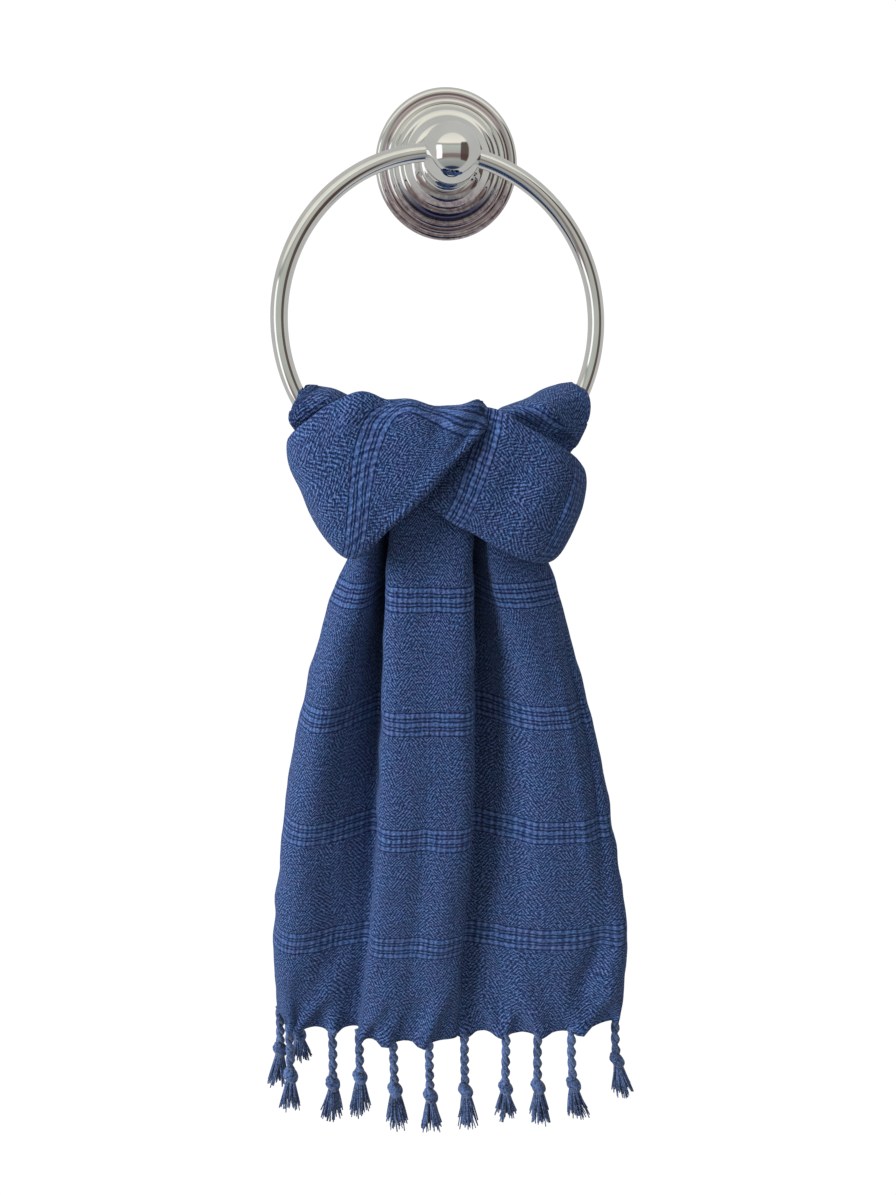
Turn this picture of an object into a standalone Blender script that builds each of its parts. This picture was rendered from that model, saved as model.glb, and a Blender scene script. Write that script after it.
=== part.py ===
"""Hand towel knotted through a towel ring on a ball post and wall rosette.

X runs right, +Y runs into the wall, +Z runs up. The origin is the centre of the rosette's flat back.
"""
import math

import bmesh
import bpy
import numpy as np

MM = 0.001

# --- driving sizes, millimetres --------------------------------------------------------------
CLOTH = 2.0  # thickness of the woven cloth
CLEAR = 0.5  # gap left between neighbouring pieces

RING_RADIUS = 75.0  # centre line of the ring
RING_TUBE = 3.9  # radius of the round bar
RING_SWING = math.radians(-3.3)  # swung sideways in its own plane
RING_TURN = math.radians(-9.3)  # right side nearer the wall
RING_LEAN = math.radians(-5.6)  # foot of the ring swung off the wall
RING_SIDES = 96
TUBE_SIDES = 14

BALL_REACH = 45.0  # ball centre in front of the wall
BALL_RADIUS = 13.2
BORE_RADIUS = RING_TUBE + 0.5

# rosette profile from its flat back to its neck: (radius, reach from the wall)
ROSETTE_PROFILE = (
    (34.7, 0.0),
    (34.7, 2.2),
    (33.9, 3.6),
    (32.2, 4.2),
    (30.6, 3.9),
    (29.8, 5.0),
    (29.2, 6.4),
    (27.6, 7.2),
    (26.2, 6.9),
    (25.4, 8.2),
    (24.6, 10.4),
    (22.8, 11.8),
    (20.6, 12.4),
    (18.9, 14.6),
    (17.3, 16.4),
    (14.6, 17.4),
)
# post profile from the rosette to the ball: (radius, reach from the wall)
POST_PROFILE = (
    (13.2, 17.8),
    (13.6, 19.2),
    (13.2, 20.6),
    (11.6, 21.6),
    (9.6, 23.6),
    (8.4, 26.6),
    (8.2, 29.6),
    (9.0, 32.2),
    (10.4, 34.2),
    (9.6, 35.8),
)
ROUND_SIDES = 64

# Sections of the hanging cloth from the front hem up over the ring and down behind.
# level = height at left edge, middle, right edge; depth = y at left, middle, right;
# left, right = side turns; panel = edges of the middle box pleat; open = width of the two
# tucks beside it; tuck = their depth; curl = how far each side turns back.
SECTIONS = (
    # level                depth              left   right   panel         open        tuck   curl
    ((-448, -457, -452), (-64, -67, -68), -97.0, 93.0, (-50.0, 0.0), (38, 40), 3.0, (30, 22)),
    ((-430, -430, -430), (-64, -68, -68), -98.0, 95.5, (-47.0, 1.0), (34, 38), 4.0, (30, 22)),
    ((-395, -395, -395), (-64, -69, -68), -97.0, 95.0, (-42.5, 3.0), (30, 34), 6.0, (29, 21)),
    ((-350, -350, -350), (-64, -71, -68), -91.5, 88.0, (-38.5, 6.5), (24, 27), 10.0, (28, 20)),
    ((-300, -300, -300), (-65, -72, -68), -84.5, 78.5, (-36.0, 8.0), (17, 20), 15.0, (27, 19)),
    ((-260, -260, -260), (-66, -73, -68), -75.5, 68.5, (-34.0, 8.0), (12, 15), 19.0, (25, 18)),
    ((-225, -225, -225), (-66, -74, -68), -66.0, 58.0, (-32.5, 8.0), (10, 12), 23.0, (24, 17)),
    ((-195, -195, -195), (-67, -75, -69), -56.0, 49.5, (-31.0, 7.5), (9, 10), 25.0, (22, 16)),
    ((-174, -174, -174), (-68, -76, -70), -46.0, 40.0, (-29.5, 7.0), (8, 9), 20.0, (14, 12)),
    ((-150, -150, -150), (-75, -76, -66), -47.0, 41.0, (-27.0, 8.0), (8, 9), 4.0, (0, 2)),
    ((-130, -130, -133), (-76, -76, -62), -62.0, 55.0, (-24.0, 10.0), (12, 12), 3.0, (0, 2)),
    ((-116, -119, -118), (-75, -76, -56), -75.0, 66.0, (-22.0, 14.0), (14, 14), 3.0, (0, 0)),
    ((-105, -110, -106), (-75.5, -74, -54), -71.0, 66.5, (-20.0, 18.0), (14, 10), 3.0, (0, 0)),
    ((-98.5, -105, -98.5), (-67, -62, -47), -64.5, 57.3, (-20.0, 18.0), (14, 8), 0.0, (0, 0)),
    ((-104, -110, -105), (-57, -46, -33), -70.0, 61.5, (-20.0, 18.0), (14, 10), -2.0, (0, 0)),
    ((-118, -122, -120), (-54, -39, -33), -70.0, 62.0, (-20.0, 14.0), (14, 14), -4.0, (-2, -2)),
    ((-142, -142, -142), (-46, -36, -36), -52.0, 46.0, (-20.0, 10.0), (10, 10), -6.0, (-4, -4)),
    ((-170, -170, -170), (-40, -35, -36), -44.0, 38.0, (-22.0, 8.0), (8, 8), -9.0, (-6, -6)),
    ((-215, -215, -215), (-36, -32, -34), -52.0, 40.0, (-24.0, 8.0), (12, 12), -8.0, (-8, -8)),
    ((-280, -280, -280), (-33, -30, -32), -62.0, 48.0, (-26.0, 8.0), (18, 18), -7.0, (-8, -8)),
    ((-340, -340, -340), (-31, -29, -30), -68.0, 54.0, (-28.0, 8.0), (24, 24), -6.0, (-8, -8)),
    ((-392, -392, -392), (-30, -28, -29), -70.0, 57.0, (-30.0, 8.0), (28, 28), -5.0, (-8, -8)),
)
CLOTH_ACROSS = 41
CLOTH_ALONG = 34

# Stations of the band tied round the cloth, from its hidden start behind the left lobe, across the
# right lobe, round the back and out again as the left lobe.
# top, foot = ends of the station (x, y, z); crown = how far its middle stands out; lip = turned edge.
BAND = (
    # top                    foot                  crown  lip
    ((-14, -76, -118), (-26, -76, -146), 0.0, 2.0),
    ((2, -84, -110), (-15, -85, -150), 2.0, 5.0),
    ((17, -87, -111), (0, -88, -160), 4.0, 7.0),
    ((37, -88, -121.5), (17, -89, -169), 5.0, 8.0),
    ((52, -84, -130.5), (34, -87, -178), 5.0, 8.0),
    ((61, -72, -140), (46, -76, -181), 4.0, 8.0),
    ((57, -48, -141), (42, -48, -178), 4.0, 6.0),
    ((36, -26, -140), (28, -26, -176), 2.0, 4.0),
    ((-5, -19, -134), (-5, -19, -176), 2.0, 4.0),
    ((-44, -30, -130), (-36, -30, -176), 3.0, 4.0),
    ((-70, -52, -127), (-52, -52, -174), 4.0, 6.0),
    ((-76, -72, -125), (-56, -78, -172), 4.0, 7.0),
    ((-67, -86, -116), (-48, -92, -174), 5.0, 8.0),
    ((-48, -88, -104.5), (-31, -95, -159), 5.0, 8.0),
    ((-25, -88, -106), (-14, -96, -143), 4.0, 8.0),
    ((-2, -87, -108), (1, -95, -127), 2.0, 6.0),
    ((9, -84, -106), (12, -89, -118), 1.0, 4.0),
    ((15, -69, -105), (19, -69, -116), 0.0, 2.5),
)
BAND_ACROSS = 12
BAND_ALONG = 35
NECK = (-5.0, -55.0)  # middle of the bunched cloth that the band goes round

# Tassels along the front hem: where each leaves it (x, y), sideways lean of its foot,
# length down to its knot, whole length.
TASSELS = (
    (-85.0, -34.0, 1.0, 27.0, 44.0),
    (-96.0, -50.0, -4.0, 27.0, 51.0),
    (-87.5, -62.0, -2.0, 32.0, 55.0),
    (-66.4, -66.0, -2.5, 33.0, 57.0),
    (-49.4, -66.0, -1.0, 29.0, 55.0),
    (-35.7, -71.0, 1.5, 32.0, 58.0),
    (-15.8, -72.0, 1.5, 36.0, 59.0),
    (6.4, -66.0, 2.0, 36.5, 61.0),
    (27.7, -66.0, 0.5, 35.0, 56.0),
    (48.8, -69.0, 3.0, 34.0, 59.0),
    (69.5, -68.0, 6.0, 36.0, 58.0),
    (90.5, -60.0, 7.0, 31.0, 55.0),
)
HEADING_HIGH = 2.4  # strip of bound yarn that joins the tassels along the hem
CORD = 2.1  # radius of a twisted cord
KNOT = 3.5  # radius of its knot
TUFT = 4.4  # radius at the frayed end
TASSEL_SIDES = 8


# --- helpers ---------------------------------------------------------------------------------
def clear_scene():
    for thing in list(bpy.data.objects):
        bpy.data.objects.remove(thing, do_unlink=True)


def plain_material(name, colour, roughness, metallic):
    made = bpy.data.materials.new(name)
    made.use_nodes = True
    shader = made.node_tree.nodes["Principled BSDF"]
    shader.inputs["Base Color"].default_value = (*colour, 1.0)
    shader.inputs["Roughness"].default_value = roughness
    shader.inputs["Metallic"].default_value = metallic
    made.diffuse_color = (*colour, 1.0)
    return made


def add_object(name, shape, material, smooth=True):
    mesh = bpy.data.meshes.new(name)
    bmesh.ops.recalc_face_normals(shape, faces=shape.faces)
    shape.to_mesh(mesh)
    shape.free()
    for face in mesh.polygons:
        face.use_smooth = smooth
    mesh.materials.append(material)
    thing = bpy.data.objects.new(name, mesh)
    bpy.context.collection.objects.link(thing)
    return thing


def eased(keys, count):
    """A smooth line of count points through the key rows (any number of columns)."""
    keys = np.asarray(keys, float)
    last = len(keys) - 1
    padded = np.concatenate([[2 * keys[0] - keys[1]], keys, [2 * keys[-1] - keys[-2]]])
    out = []
    for place in np.linspace(0, last, count):
        i = min(int(place), last - 1)
        t = place - i
        a, b, c, d = padded[i : i + 4]
        out.append(
            0.5
            * (
                2 * b
                + (c - a) * t
                + (2 * a - 5 * b + 4 * c - d) * t * t
                + (3 * b - a - 3 * c + d) * t * t * t
            )
        )
    return np.array(out)


def through_three(x, left, right, values):
    """A parabola's value at x, given its values at the left, middle and right."""
    t = (x - left) / (right - left)
    a, b, c = values
    return a * (1 - t) * (1 - 2 * t) + 4 * b * t * (1 - t) + c * t * (2 * t - 1)


def section_points(row):
    """Key points of one cloth section, left selvedge to right selvedge."""
    level, depth, left, right, panel, opening, tuck, curl = row
    lip_left = panel[0] - opening[0]
    lip_right = panel[1] + opening[1]
    turn_in = 3 + 0.35 * abs(curl[0])
    turn_out = 3 + 0.35 * abs(curl[1])
    columns = (
        (left + turn_in, 1.0 * curl[0]),
        (left + 1.5, 0.8 * curl[0]),
        (left, 0.45 * curl[0]),
        (left + 3.5, 0.12 * curl[0]),
        (0.5 * (left + lip_left), -1.0),
        (lip_left - 1.0, 0.0),
        (lip_left + 0.16 * opening[0], 0.5 * tuck),
        (panel[0] - 0.5 * opening[0], tuck),
        (panel[0] - 0.12 * opening[0], 0.45 * tuck),
        (panel[0] + 1.0, -3.0),
        (0.5 * (panel[0] + panel[1]), -4.5),
        (panel[1] - 1.0, -3.0),
        (panel[1] + 0.12 * opening[1], 0.45 * tuck),
        (panel[1] + 0.5 * opening[1], tuck),
        (lip_right - 0.16 * opening[1], 0.5 * tuck),
        (lip_right + 1.0, 0.0),
        (0.5 * (right + lip_right), -1.0),
        (right - 3.5, 0.12 * curl[1]),
        (right, 0.45 * curl[1]),
        (right - 1.5, 0.8 * curl[1]),
        (right - turn_out, 1.0 * curl[1]),
    )
    return [
        (
            x,
            through_three(x, left, right, depth) + back,
            through_three(x, left, right, level),
        )
        for x, back in columns
    ]


def station_points(row):
    """Key points of one band station, from the turned top edge to the turned foot edge."""
    top, foot, crown, lip = (np.asarray(v, float) for v in row)
    across = foot - top
    across_unit = across / np.linalg.norm(across)
    middle = 0.5 * (top + foot)
    out = np.array((middle[0] - NECK[0], middle[1] - NECK[1], 0.0))
    out -= out.dot(across_unit) * across_unit
    out /= np.linalg.norm(out)
    turn = 0.75 * lip * across_unit
    return [
        top + turn - 0.55 * lip * out,
        top - 0.4 * lip * out,
        top + 0.12 * turn,
        top + 0.18 * across + 0.75 * crown * out,
        top + 0.5 * across + crown * out,
        top + 0.82 * across + 0.75 * crown * out,
        foot - 0.12 * turn,
        foot - 0.4 * lip * out,
        foot - turn - 0.55 * lip * out,
    ]


def draped_sheet(key_rows, across, along):
    """A grid of cloth laid through rows of key points."""
    rows = np.array([eased(row, across) for row in key_rows])
    sheet = eased(rows.reshape(len(rows), -1), along).reshape(along, across, 3)
    shape = bmesh.new()
    bmesh.ops.create_grid(shape, x_segments=across - 1, y_segments=along - 1, size=0.5)
    shape.verts.ensure_lookup_table()
    for vert in shape.verts:
        i = round((vert.co.x + 0.5) * (across - 1))
        j = round((vert.co.y + 0.5) * (along - 1))
        vert.co = sheet[j, i] * MM
    return shape


def thicken(thing, thickness):
    solid = thing.modifiers.new("thickness", "SOLIDIFY")
    solid.thickness = thickness * MM
    solid.offset = 0.0
    solid.use_rim = True
    solid.use_even_offset = False


def turned(profile, sides):
    """A solid turned about the Y axis from (radius, reach) rows, closed at both ends."""
    shape = bmesh.new()
    previous = None
    for radius, reach in profile:
        ring = bmesh.ops.create_circle(shape, cap_ends=False, radius=radius * MM, segments=sides)
        for vert in ring["verts"]:
            vert.co = (vert.co.x, -reach * MM, vert.co.y)
        edges = list({edge for vert in ring["verts"] for edge in vert.link_edges})
        if previous:
            bmesh.ops.bridge_loops(shape, edges=previous + edges)
        previous = edges
    bmesh.ops.holes_fill(shape, edges=shape.edges, sides=0)
    return shape


def ring_frame():
    """Centre, sideways axis and downward axis of the ring."""
    side = np.array((math.cos(RING_SWING), 0.0, math.sin(RING_SWING)))
    down = np.array((math.sin(RING_SWING), 0.0, -math.cos(RING_SWING)))
    down = down * math.cos(RING_LEAN) + np.array((0.0, 1.0, 0.0)) * math.sin(RING_LEAN)
    side = side * math.cos(RING_TURN) + np.cross(down, side) * math.sin(RING_TURN)
    centre = np.array((0.0, -BALL_REACH, 0.0)) + RING_RADIUS * down
    return centre, side, down


def ring_bar(radius, start, end, steps, closed):
    """The ring's bar, or a stretch of it, between two angles measured from its right side."""
    centre, side, down = ring_frame()
    face = np.cross(side, down)
    shape = bmesh.new()
    loops = []
    for k in range(steps if closed else steps + 1):
        angle = start + (end - start) * k / steps
        outward = math.cos(angle) * side - math.sin(angle) * down
        middle = centre + RING_RADIUS * outward
        ring = bmesh.ops.create_circle(shape, cap_ends=False, radius=1.0, segments=TUBE_SIDES)
        for vert in ring["verts"]:
            x, y = vert.co.x, vert.co.y
            vert.co = (middle + radius * (x * outward + y * face)) * MM
        loops.append(list({edge for vert in ring["verts"] for edge in vert.link_edges}))
    for one, two in zip(loops, loops[1:] + (loops[:1] if closed else [])):
        bmesh.ops.bridge_loops(shape, edges=one + two)
    if not closed:
        bmesh.ops.holes_fill(shape, edges=shape.edges, sides=0)
    return shape


def combine(thing, other, operation, solver="EXACT"):
    """Joins other to thing, or cuts it away, and leaves other out of the object."""
    change = thing.modifiers.new(operation.lower(), "BOOLEAN")
    change.operation = operation
    change.solver = solver
    change.object = other
    other.hide_render = True
    other.display_type = "WIRE"


def hem_line(drop):
    """The hem's curve, drop millimetres below its edge."""
    line = eased(section_points(SECTIONS[0]), CLOTH_ACROSS)
    return line - np.array((0.0, 0.0, drop))


def tassel(x, y, lean, to_knot, whole):
    """One closed cord with its knot and tuft, hanging from the hem near x, y."""
    line = hem_line(CLEAR + 0.5 * HEADING_HIGH)
    top = line[np.argmin(np.hypot(line[:, 0] - x, line[:, 1] - y))]
    rows = (
        (0.0, 0.7 * CORD),
        (3.0, CORD),
        (0.5 * to_knot, CORD),
        (to_knot - 4.0, CORD),
        (to_knot - 2.0, 0.85 * KNOT),
        (to_knot, KNOT),
        (to_knot + 2.0, 0.85 * KNOT),
        (to_knot + 4.0, CORD),
        (0.35 * to_knot + 0.65 * whole, 0.9 * TUFT),
        (whole - 2.0, TUFT),
        (whole, 0.7 * TUFT),
    )
    shape = bmesh.new()
    previous = None
    for down, radius in rows:
        share = down / whole
        ring = bmesh.ops.create_circle(shape, cap_ends=False, radius=radius, segments=TASSEL_SIDES)
        for vert in ring["verts"]:
            middle = top + np.array((lean * share * share, 0.0, -down))
            vert.co = (middle + np.array((vert.co.x, vert.co.y, 0.0))) * MM
        edges = list({edge for vert in ring["verts"] for edge in vert.link_edges})
        if previous:
            bmesh.ops.bridge_loops(shape, edges=previous + edges)
        previous = edges
    bmesh.ops.holes_fill(shape, edges=shape.edges, sides=0)
    return shape


# --- pieces ----------------------------------------------------------------------------------
def build_rosette(chrome):
    return add_object("rosette", turned(ROSETTE_PROFILE, ROUND_SIDES), chrome)


def build_post(chrome):
    """Flared post with its ball, bored for the ring."""
    profile = list(POST_PROFILE)
    start = math.asin(profile[-1][0] / BALL_RADIUS)
    steps = 14
    for k in range(1, steps):
        angle = start + (math.pi - start) * k / steps
        profile.append((BALL_RADIUS * math.sin(angle), BALL_REACH - BALL_RADIUS * math.cos(angle)))
    post = add_object("ball_post", turned(profile, ROUND_SIDES), chrome)
    bore = add_object(
        "bore",
        ring_bar(BORE_RADIUS, math.radians(90 - 24), math.radians(90 + 24), 12, False),
        chrome,
    )
    combine(post, bore, "DIFFERENCE")
    return post


def build_ring(chrome):
    return add_object("ring", ring_bar(RING_TUBE, 0.0, 2 * math.pi, RING_SIDES, True), chrome)


def build_towel(cloth):
    rows = [section_points(row) for row in SECTIONS]
    towel = add_object("towel", draped_sheet(rows, CLOTH_ACROSS, CLOTH_ALONG), cloth)
    thicken(towel, CLOTH)
    rows = [station_points(row) for row in BAND]
    band = add_object("band", draped_sheet(rows, BAND_ACROSS, BAND_ALONG), cloth)
    thicken(band, CLOTH)
    combine(towel, band, "UNION", "MANIFOLD")
    return towel


def build_fringe(cloth):
    """One comb: the heading strip under the hem with every tassel on it."""
    rows = [hem_line(CLEAR), hem_line(CLEAR + HEADING_HIGH)]
    fringe = add_object("fringe", draped_sheet(rows, CLOTH_ACROSS, 2), cloth)
    thicken(fringe, 0.8 * CLOTH)
    for k, row in enumerate(TASSELS):
        combine(fringe, add_object(f"tassel_{k}", tassel(*row), cloth), "UNION")
    return fringe


def main():
    clear_scene()
    cloth = plain_material("cloth_blue", (0.045, 0.085, 0.21), 0.9, 0.0)
    chrome = plain_material("chrome", (0.78, 0.78, 0.77), 0.12, 1.0)
    build_rosette(chrome)
    build_post(chrome)
    build_ring(chrome)
    build_towel(cloth)
    build_fringe(cloth)


main()
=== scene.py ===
"""Hand towel knotted through a towel ring: looks, light and camera."""

import math
import random

import bmesh
import bpy
import numpy as np
from mathutils import Matrix, Vector


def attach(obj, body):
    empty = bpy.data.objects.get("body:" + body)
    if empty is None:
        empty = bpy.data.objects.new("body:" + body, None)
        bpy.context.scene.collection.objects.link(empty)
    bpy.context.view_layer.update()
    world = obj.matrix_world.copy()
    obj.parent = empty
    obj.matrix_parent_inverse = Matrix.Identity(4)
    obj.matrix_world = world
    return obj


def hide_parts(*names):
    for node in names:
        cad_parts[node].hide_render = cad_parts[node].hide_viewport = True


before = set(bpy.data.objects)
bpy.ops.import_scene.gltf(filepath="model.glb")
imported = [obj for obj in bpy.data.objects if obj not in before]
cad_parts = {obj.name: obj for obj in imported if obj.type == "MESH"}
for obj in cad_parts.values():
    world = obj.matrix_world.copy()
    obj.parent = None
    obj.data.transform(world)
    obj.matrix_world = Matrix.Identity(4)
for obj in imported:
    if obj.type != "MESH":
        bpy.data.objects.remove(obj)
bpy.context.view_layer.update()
MM = 0.001

# --- sizes, millimetres ----------------------------------------------------------------------
CLOTH = 1.6
RING_RADIUS = 75.0
RING_TUBE = 3.9
RING_SWING = math.radians(-3.3)
RING_TURN = math.radians(-9.3)
RING_LEAN = math.radians(-5.6)
BALL_REACH = 45.0
BALL_RADIUS = 13.2
STRIPE_STEP = 66.0  # from one woven stripe group to the next
STRIPE_FIRST = 59.0  # hem to the first group
CORD_STEP = 4.9  # between the three cords of a group
ROSETTE_PROFILE = (
    (34.7, 0.0),
    (34.7, 2.2),
    (33.9, 3.6),
    (32.2, 4.2),
    (30.6, 3.9),
    (29.8, 5.0),
    (29.2, 6.4),
    (27.6, 7.2),
    (26.2, 6.9),
    (25.4, 8.2),
    (24.6, 10.4),
    (22.8, 11.8),
    (20.6, 12.4),
    (18.9, 14.6),
    (17.3, 16.4),
    (14.6, 17.4),
)
POST_PROFILE = (
    (13.2, 17.8),
    (13.6, 19.2),
    (13.2, 20.6),
    (11.6, 21.6),
    (9.6, 23.6),
    (8.4, 26.6),
    (8.2, 29.6),
    (9.0, 32.2),
    (10.4, 34.2),
    (9.6, 35.8),
)

# level, depth = left edge, middle, right edge; left, right = side turns; panel = middle box
# pleat; open = tucks beside it; tuck = their depth; curl = how far each side turns back
SECTIONS = (
    ((-448, -457, -452), (-64, -67, -68), -97.0, 93.0, (-50.0, 0.0), (37, 40), 5.0, (30, 22)),
    ((-430, -430, -430), (-64, -68, -68), -98.0, 95.5, (-47.0, 1.0), (36, 39), 7.0, (30, 22)),
    ((-395, -395, -395), (-64, -69, -68), -97.0, 95.0, (-42.5, 3.0), (34, 37), 11.0, (29, 21)),
    ((-350, -350, -350), (-64, -71, -68), -91.5, 88.0, (-38.5, 6.5), (32, 36), 16.0, (28, 20)),
    ((-300, -300, -300), (-65, -72, -68), -84.5, 78.5, (-36.0, 8.0), (28, 34), 21.0, (27, 19)),
    ((-260, -260, -260), (-66, -73, -68), -75.5, 68.5, (-34.0, 8.0), (24, 30), 24.0, (25, 18)),
    ((-225, -225, -225), (-66, -74, -68), -66.0, 58.0, (-32.5, 8.0), (17, 22), 26.0, (24, 17)),
    ((-195, -195, -195), (-67, -75, -69), -56.0, 49.5, (-31.0, 7.5), (11, 13), 26.0, (22, 16)),
    ((-174, -174, -174), (-68, -76, -70), -46.0, 40.0, (-29.5, 7.0), (9, 10), 22.0, (14, 12)),
    ((-150, -150, -150), (-75, -76, -66), -47.0, 41.0, (-27.0, 8.0), (8, 9), 4.0, (0, 2)),
    ((-130, -130, -133), (-76, -76, -62), -62.0, 55.0, (-24.0, 10.0), (12, 12), 3.0, (0, 2)),
    ((-116, -119, -118), (-75, -76, -56), -74.0, 64.0, (-22.0, 14.0), (14, 14), 3.0, (0, 0)),
    ((-105, -110, -106), (-75.5, -74, -54), -70.0, 63.5, (-20.0, 18.0), (14, 10), 3.0, (0, 0)),
    ((-101, -105, -102), (-67, -62, -47), -65.0, 57.5, (-20.0, 18.0), (14, 8), 0.0, (0, 0)),
    ((-104, -110, -105), (-57, -46, -33), -70.0, 61.5, (-20.0, 18.0), (14, 10), -2.0, (0, 0)),
    ((-118, -122, -120), (-54, -39, -33), -70.0, 62.0, (-20.0, 14.0), (14, 14), -4.0, (-2, -2)),
    ((-142, -142, -142), (-46, -36, -36), -52.0, 46.0, (-20.0, 10.0), (10, 10), -6.0, (-4, -4)),
    ((-170, -170, -170), (-40, -35, -36), -44.0, 38.0, (-22.0, 8.0), (8, 8), -9.0, (-6, -6)),
    ((-215, -215, -215), (-36, -32, -34), -52.0, 40.0, (-24.0, 8.0), (12, 12), -8.0, (-8, -8)),
    ((-280, -280, -280), (-33, -30, -32), -62.0, 48.0, (-26.0, 8.0), (18, 18), -7.0, (-8, -8)),
    ((-340, -340, -340), (-31, -29, -30), -68.0, 54.0, (-28.0, 8.0), (24, 24), -6.0, (-8, -8)),
    ((-392, -392, -392), (-30, -28, -29), -70.0, 57.0, (-30.0, 8.0), (28, 28), -5.0, (-8, -8)),
)
# top, foot = ends of each station of the tied band; crown = how far its middle stands out;
# lip = turned edge
BAND = (
    ((-14, -76, -118), (-26, -76, -146), 0.0, 2.0),
    ((2, -84, -110), (-15, -85, -150), 2.0, 5.0),
    ((17, -87, -111), (0, -88, -160), 4.0, 7.0),
    ((37, -88, -121.5), (17, -89, -169), 5.0, 8.0),
    ((52, -84, -130.5), (34, -87, -178), 5.0, 8.0),
    ((61, -72, -140), (46, -76, -181), 4.0, 8.0),
    ((57, -48, -141), (42, -48, -178), 4.0, 6.0),
    ((36, -26, -140), (28, -26, -176), 2.0, 4.0),
    ((-5, -19, -134), (-5, -19, -176), 2.0, 4.0),
    ((-44, -30, -130), (-36, -30, -176), 3.0, 4.0),
    ((-70, -52, -127), (-52, -52, -174), 4.0, 6.0),
    ((-76, -72, -125), (-56, -78, -172), 4.0, 7.0),
    ((-67, -86, -116), (-48, -92, -174), 5.0, 8.0),
    ((-48, -88, -104.5), (-31, -95, -159), 5.0, 8.0),
    ((-25, -88, -106), (-14, -96, -143), 4.0, 8.0),
    ((-2, -87, -108), (1, -95, -127), 2.0, 6.0),
    ((10, -85, -107), (12, -89, -118), 1.0, 4.0),
    ((14, -70, -111), (18, -70, -119), 0.0, 2.5),
)
NECK = (-5.0, -55.0)
# where each tassel leaves the hem (x, y), lean of its foot, length to its knot, whole length
TASSELS = (
    (-85.0, -34.0, 1.0, 27.0, 44.0),
    (-96.0, -50.0, -4.0, 27.0, 51.0),
    (-87.5, -62.0, -2.0, 32.0, 55.0),
    (-66.4, -66.0, -2.5, 33.0, 57.0),
    (-49.4, -66.0, -1.0, 29.0, 55.0),
    (-35.7, -71.0, 1.5, 32.0, 58.0),
    (-15.8, -72.0, 1.5, 36.0, 59.0),
    (6.4, -66.0, 2.0, 36.5, 61.0),
    (27.7, -66.0, 0.5, 35.0, 56.0),
    (48.8, -69.0, 3.0, 34.0, 59.0),
    (69.5, -68.0, 6.0, 36.0, 58.0),
    (90.5, -60.0, 7.0, 31.0, 55.0),
)
CLOTH_ACROSS = 191
BAND_ACROSS = 41
BAND_ALONG = 151


# --- folds -----------------------------------------------------------------------------------
def eased(keys, places):
    """A smooth line through the key rows, read at a count of points or at given places."""
    keys = np.asarray(keys, float)
    last = len(keys) - 1
    padded = np.concatenate([[2 * keys[0] - keys[1]], keys, [2 * keys[-1] - keys[-2]]])
    place = np.linspace(0, last, places) if isinstance(places, int) else np.asarray(places)
    i = np.minimum(place.astype(int), last - 1)
    t = (place - i).reshape((-1,) + (1,) * (keys.ndim - 1))
    a, b, c, d = padded[i], padded[i + 1], padded[i + 2], padded[i + 3]
    return 0.5 * (
        2 * b + (c - a) * t + (2 * a - 5 * b + 4 * c - d) * t * t + (3 * b - a - 3 * c + d) * t**3
    )


def through_three(x, left, right, values):
    t = (x - left) / (right - left)
    a, b, c = values
    return a * (1 - t) * (1 - 2 * t) + 4 * b * t * (1 - t) + c * t * (2 * t - 1)


def section_points(row):
    """Key points of one cloth section, left selvedge to right selvedge."""
    level, depth, left, right, panel, opening, tuck, curl = row
    lip_left = panel[0] - opening[0]
    lip_right = panel[1] + opening[1]
    turn_in = 3 + 0.35 * abs(curl[0])
    turn_out = 3 + 0.35 * abs(curl[1])
    columns = (
        (left + turn_in, 1.0 * curl[0]),
        (left + 1.5, 0.8 * curl[0]),
        (left, 0.45 * curl[0]),
        (left + 3.5, 0.12 * curl[0]),
        (0.5 * (left + lip_left), -1.0),
        (lip_left - 1.0, 0.0),
        (lip_left + 0.26 * opening[0], 0.28 * tuck),
        (panel[0] - 0.40 * opening[0], 0.72 * tuck),
        (panel[0] - 0.06 * opening[0] - 0.6, 0.92 * tuck),
        (panel[0] + 0.6, -3.0),
        (0.5 * (panel[0] + panel[1]), -4.5),
        (panel[1] - 0.6, -3.0),
        (panel[1] + 0.06 * opening[1] + 0.6, 0.92 * tuck),
        (panel[1] + 0.40 * opening[1], 0.72 * tuck),
        (lip_right - 0.26 * opening[1], 0.28 * tuck),
        (lip_right + 1.0, 0.0),
        (0.5 * (right + lip_right), -1.0),
        (right - 3.5, 0.12 * curl[1]),
        (right, 0.45 * curl[1]),
        (right - 1.5, 0.8 * curl[1]),
        (right - turn_out, 1.0 * curl[1]),
    )
    return [
        (x, through_three(x, left, right, depth) + back, through_three(x, left, right, level))
        for x, back in columns
    ]


def station_points(row):
    """Key points of one band station, from its turned top edge to its turned foot edge."""
    top, foot, crown, lip = (np.asarray(v, float) for v in row)
    across = foot - top
    unit = across / np.linalg.norm(across)
    middle = 0.5 * (top + foot)
    out = np.array((middle[0] - NECK[0], middle[1] - NECK[1], 0.0))
    out -= out.dot(unit) * unit
    out /= np.linalg.norm(out)
    turn = 0.75 * lip * unit
    return [
        top + turn - 0.55 * lip * out,
        top - 0.4 * lip * out,
        top + 0.12 * turn,
        top + 0.18 * across + 0.75 * crown * out,
        top + 0.5 * across + crown * out,
        top + 0.82 * across + 0.75 * crown * out,
        foot - 0.12 * turn,
        foot - 0.4 * lip * out,
        foot - turn - 0.55 * lip * out,
    ]


def laid_rows(key_rows, across, along):
    rows = np.array([eased(row, across) for row in key_rows])
    return eased(rows, along)


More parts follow.
